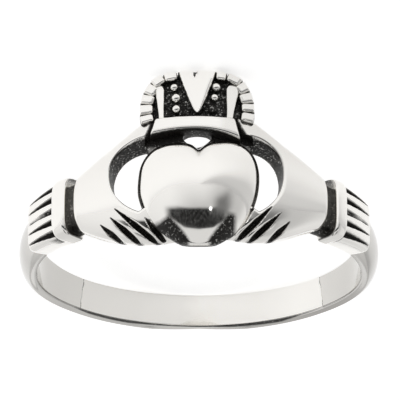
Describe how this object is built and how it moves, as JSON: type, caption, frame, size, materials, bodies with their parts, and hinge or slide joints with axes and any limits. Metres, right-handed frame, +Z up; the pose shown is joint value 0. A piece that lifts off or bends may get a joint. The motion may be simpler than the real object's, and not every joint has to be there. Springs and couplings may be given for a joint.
{
  "type": "claddagh ring",
  "caption": "Cast silver finger ring: two cuffed hands hold a domed heart under a beaded crown; it lies on its side.",
  "frame": {"origin": "centre of the bounding box's floor face, on the floor the ring lies on", "axes": "+X across the face, to the left of the picture; -Y towards the heart and the viewer; +Z up, away from the crown, which is at the floor"},
  "size_m": [0.0192, 0.0207, 0.0096],
  "materials": {
    "silver": "polished sterling silver, blackened in the recesses"
  },
  "bodies": {
    "root": {"claddagh_ring": "silver"}
  },
  "joints": []
}
